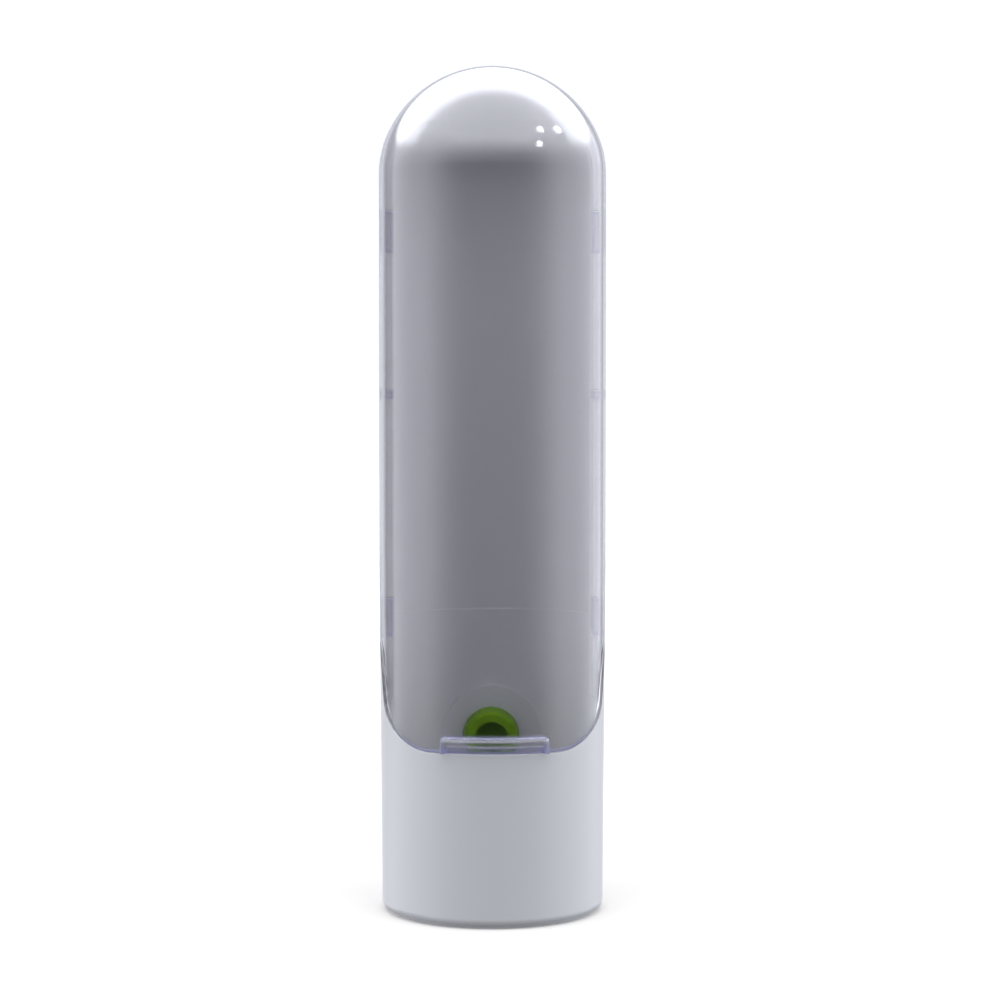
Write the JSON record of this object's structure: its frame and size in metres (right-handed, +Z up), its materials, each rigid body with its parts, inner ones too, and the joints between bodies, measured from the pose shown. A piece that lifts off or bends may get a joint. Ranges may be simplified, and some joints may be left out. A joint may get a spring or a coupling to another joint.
{
  "type": "herb keeper",
  "caption": "Upright capsule herb keeper: white water cup and back shell with a domed top, clear pull-off front cover with a thumb tab, and a green silicone fill plug in the back.",
  "frame": {"origin": "centre of the flat face that the keeper stands on", "axes": "+Z up along the capsule's axis, -Y out of the clear front, +X to the right as seen from the front"},
  "size_m": [0.066, 0.068, 0.245],
  "materials": {
    "white_body": "glossy moulded white plastic, faintly cool",
    "white_floor": "satin moulded white plastic",
    "clear_cover": "clear polished rigid plastic with faintly lavender edges",
    "green_silicone": "satin leaf-green silicone"
  },
  "bodies": {
    "keeper": {"body_shell": "white_body", "base_floor": "white_floor"},
    "cover": {"front_cover": "clear_cover"},
    "plug": {"fill_plug": "green_silicone"}
  },
  "joints": [
    {"name": "cover_pull", "type": "slide", "parent": "keeper", "child": "cover", "axis": [0, -1, 0], "range_m": [0, 0.08]},
    {"name": "plug_pull", "type": "slide", "parent": "keeper", "child": "plug", "axis": [0, 1, 0], "range_m": [0, 0.03]}
  ]
}
